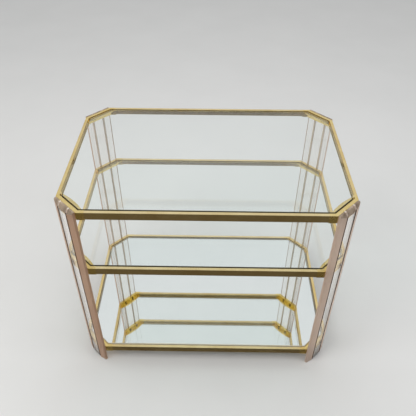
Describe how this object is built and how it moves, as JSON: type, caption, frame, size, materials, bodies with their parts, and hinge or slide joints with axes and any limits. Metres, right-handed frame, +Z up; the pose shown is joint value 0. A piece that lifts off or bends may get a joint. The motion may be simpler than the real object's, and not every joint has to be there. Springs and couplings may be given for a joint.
{
  "type": "etagere",
  "caption": "Octagonal tiered shelf unit: yellow metal frames with inset glass and mirror panes, carried by clear slab posts across the cut corners.",
  "frame": {"origin": "centre of the plan on the floor, level with the feet of the posts", "axes": "+X along the width, +Y towards the back, +Z up"},
  "size_m": [0.7682, 0.5142, 0.635],
  "materials": {
    "rail_metal": "polished pale gold, softly worn",
    "corner_metal": "polished cast corner, a deeper yellow than the rails",
    "screw_metal": "blackened",
    "clear_glass": "clear, faintly green at the edges",
    "mirror_pane": "silvered glass",
    "clear_acrylic": "clear, aged to a pink tint seen along the edges"
  },
  "bodies": {
    "root": {"top_front_rail": "rail_metal", "top_back_rail": "rail_metal", "top_left_rail": "rail_metal", "top_right_rail": "rail_metal", "top_front_left_corner": "corner_metal", "top_front_right_corner": "corner_metal", "top_back_left_corner": "corner_metal", "top_back_right_corner": "corner_metal", "top_screws": "screw_metal", "top_glass": "clear_glass", "middle_front_rail": "rail_metal", "middle_back_rail": "rail_metal", "middle_left_rail": "rail_metal", "middle_right_rail": "rail_metal", "middle_front_left_corner": "corner_metal", "middle_front_right_corner": "corner_metal", "middle_back_left_corner": "corner_metal", "middle_back_right_corner": "corner_metal", "middle_screws": "screw_metal", "middle_glass": "clear_glass", "bottom_front_rail": "rail_metal", "bottom_back_rail": "rail_metal", "bottom_left_rail": "rail_metal", "bottom_right_rail": "rail_metal", "bottom_front_left_corner": "corner_metal", "bottom_front_right_corner": "corner_metal", "bottom_back_left_corner": "corner_metal", "bottom_back_right_corner": "corner_metal", "bottom_screws": "screw_metal", "bottom_mirror": "mirror_pane", "front_left_post": "clear_acrylic", "front_right_post": "clear_acrylic", "back_left_post": "clear_acrylic", "back_right_post": "clear_acrylic"}
  },
  "joints": []
}
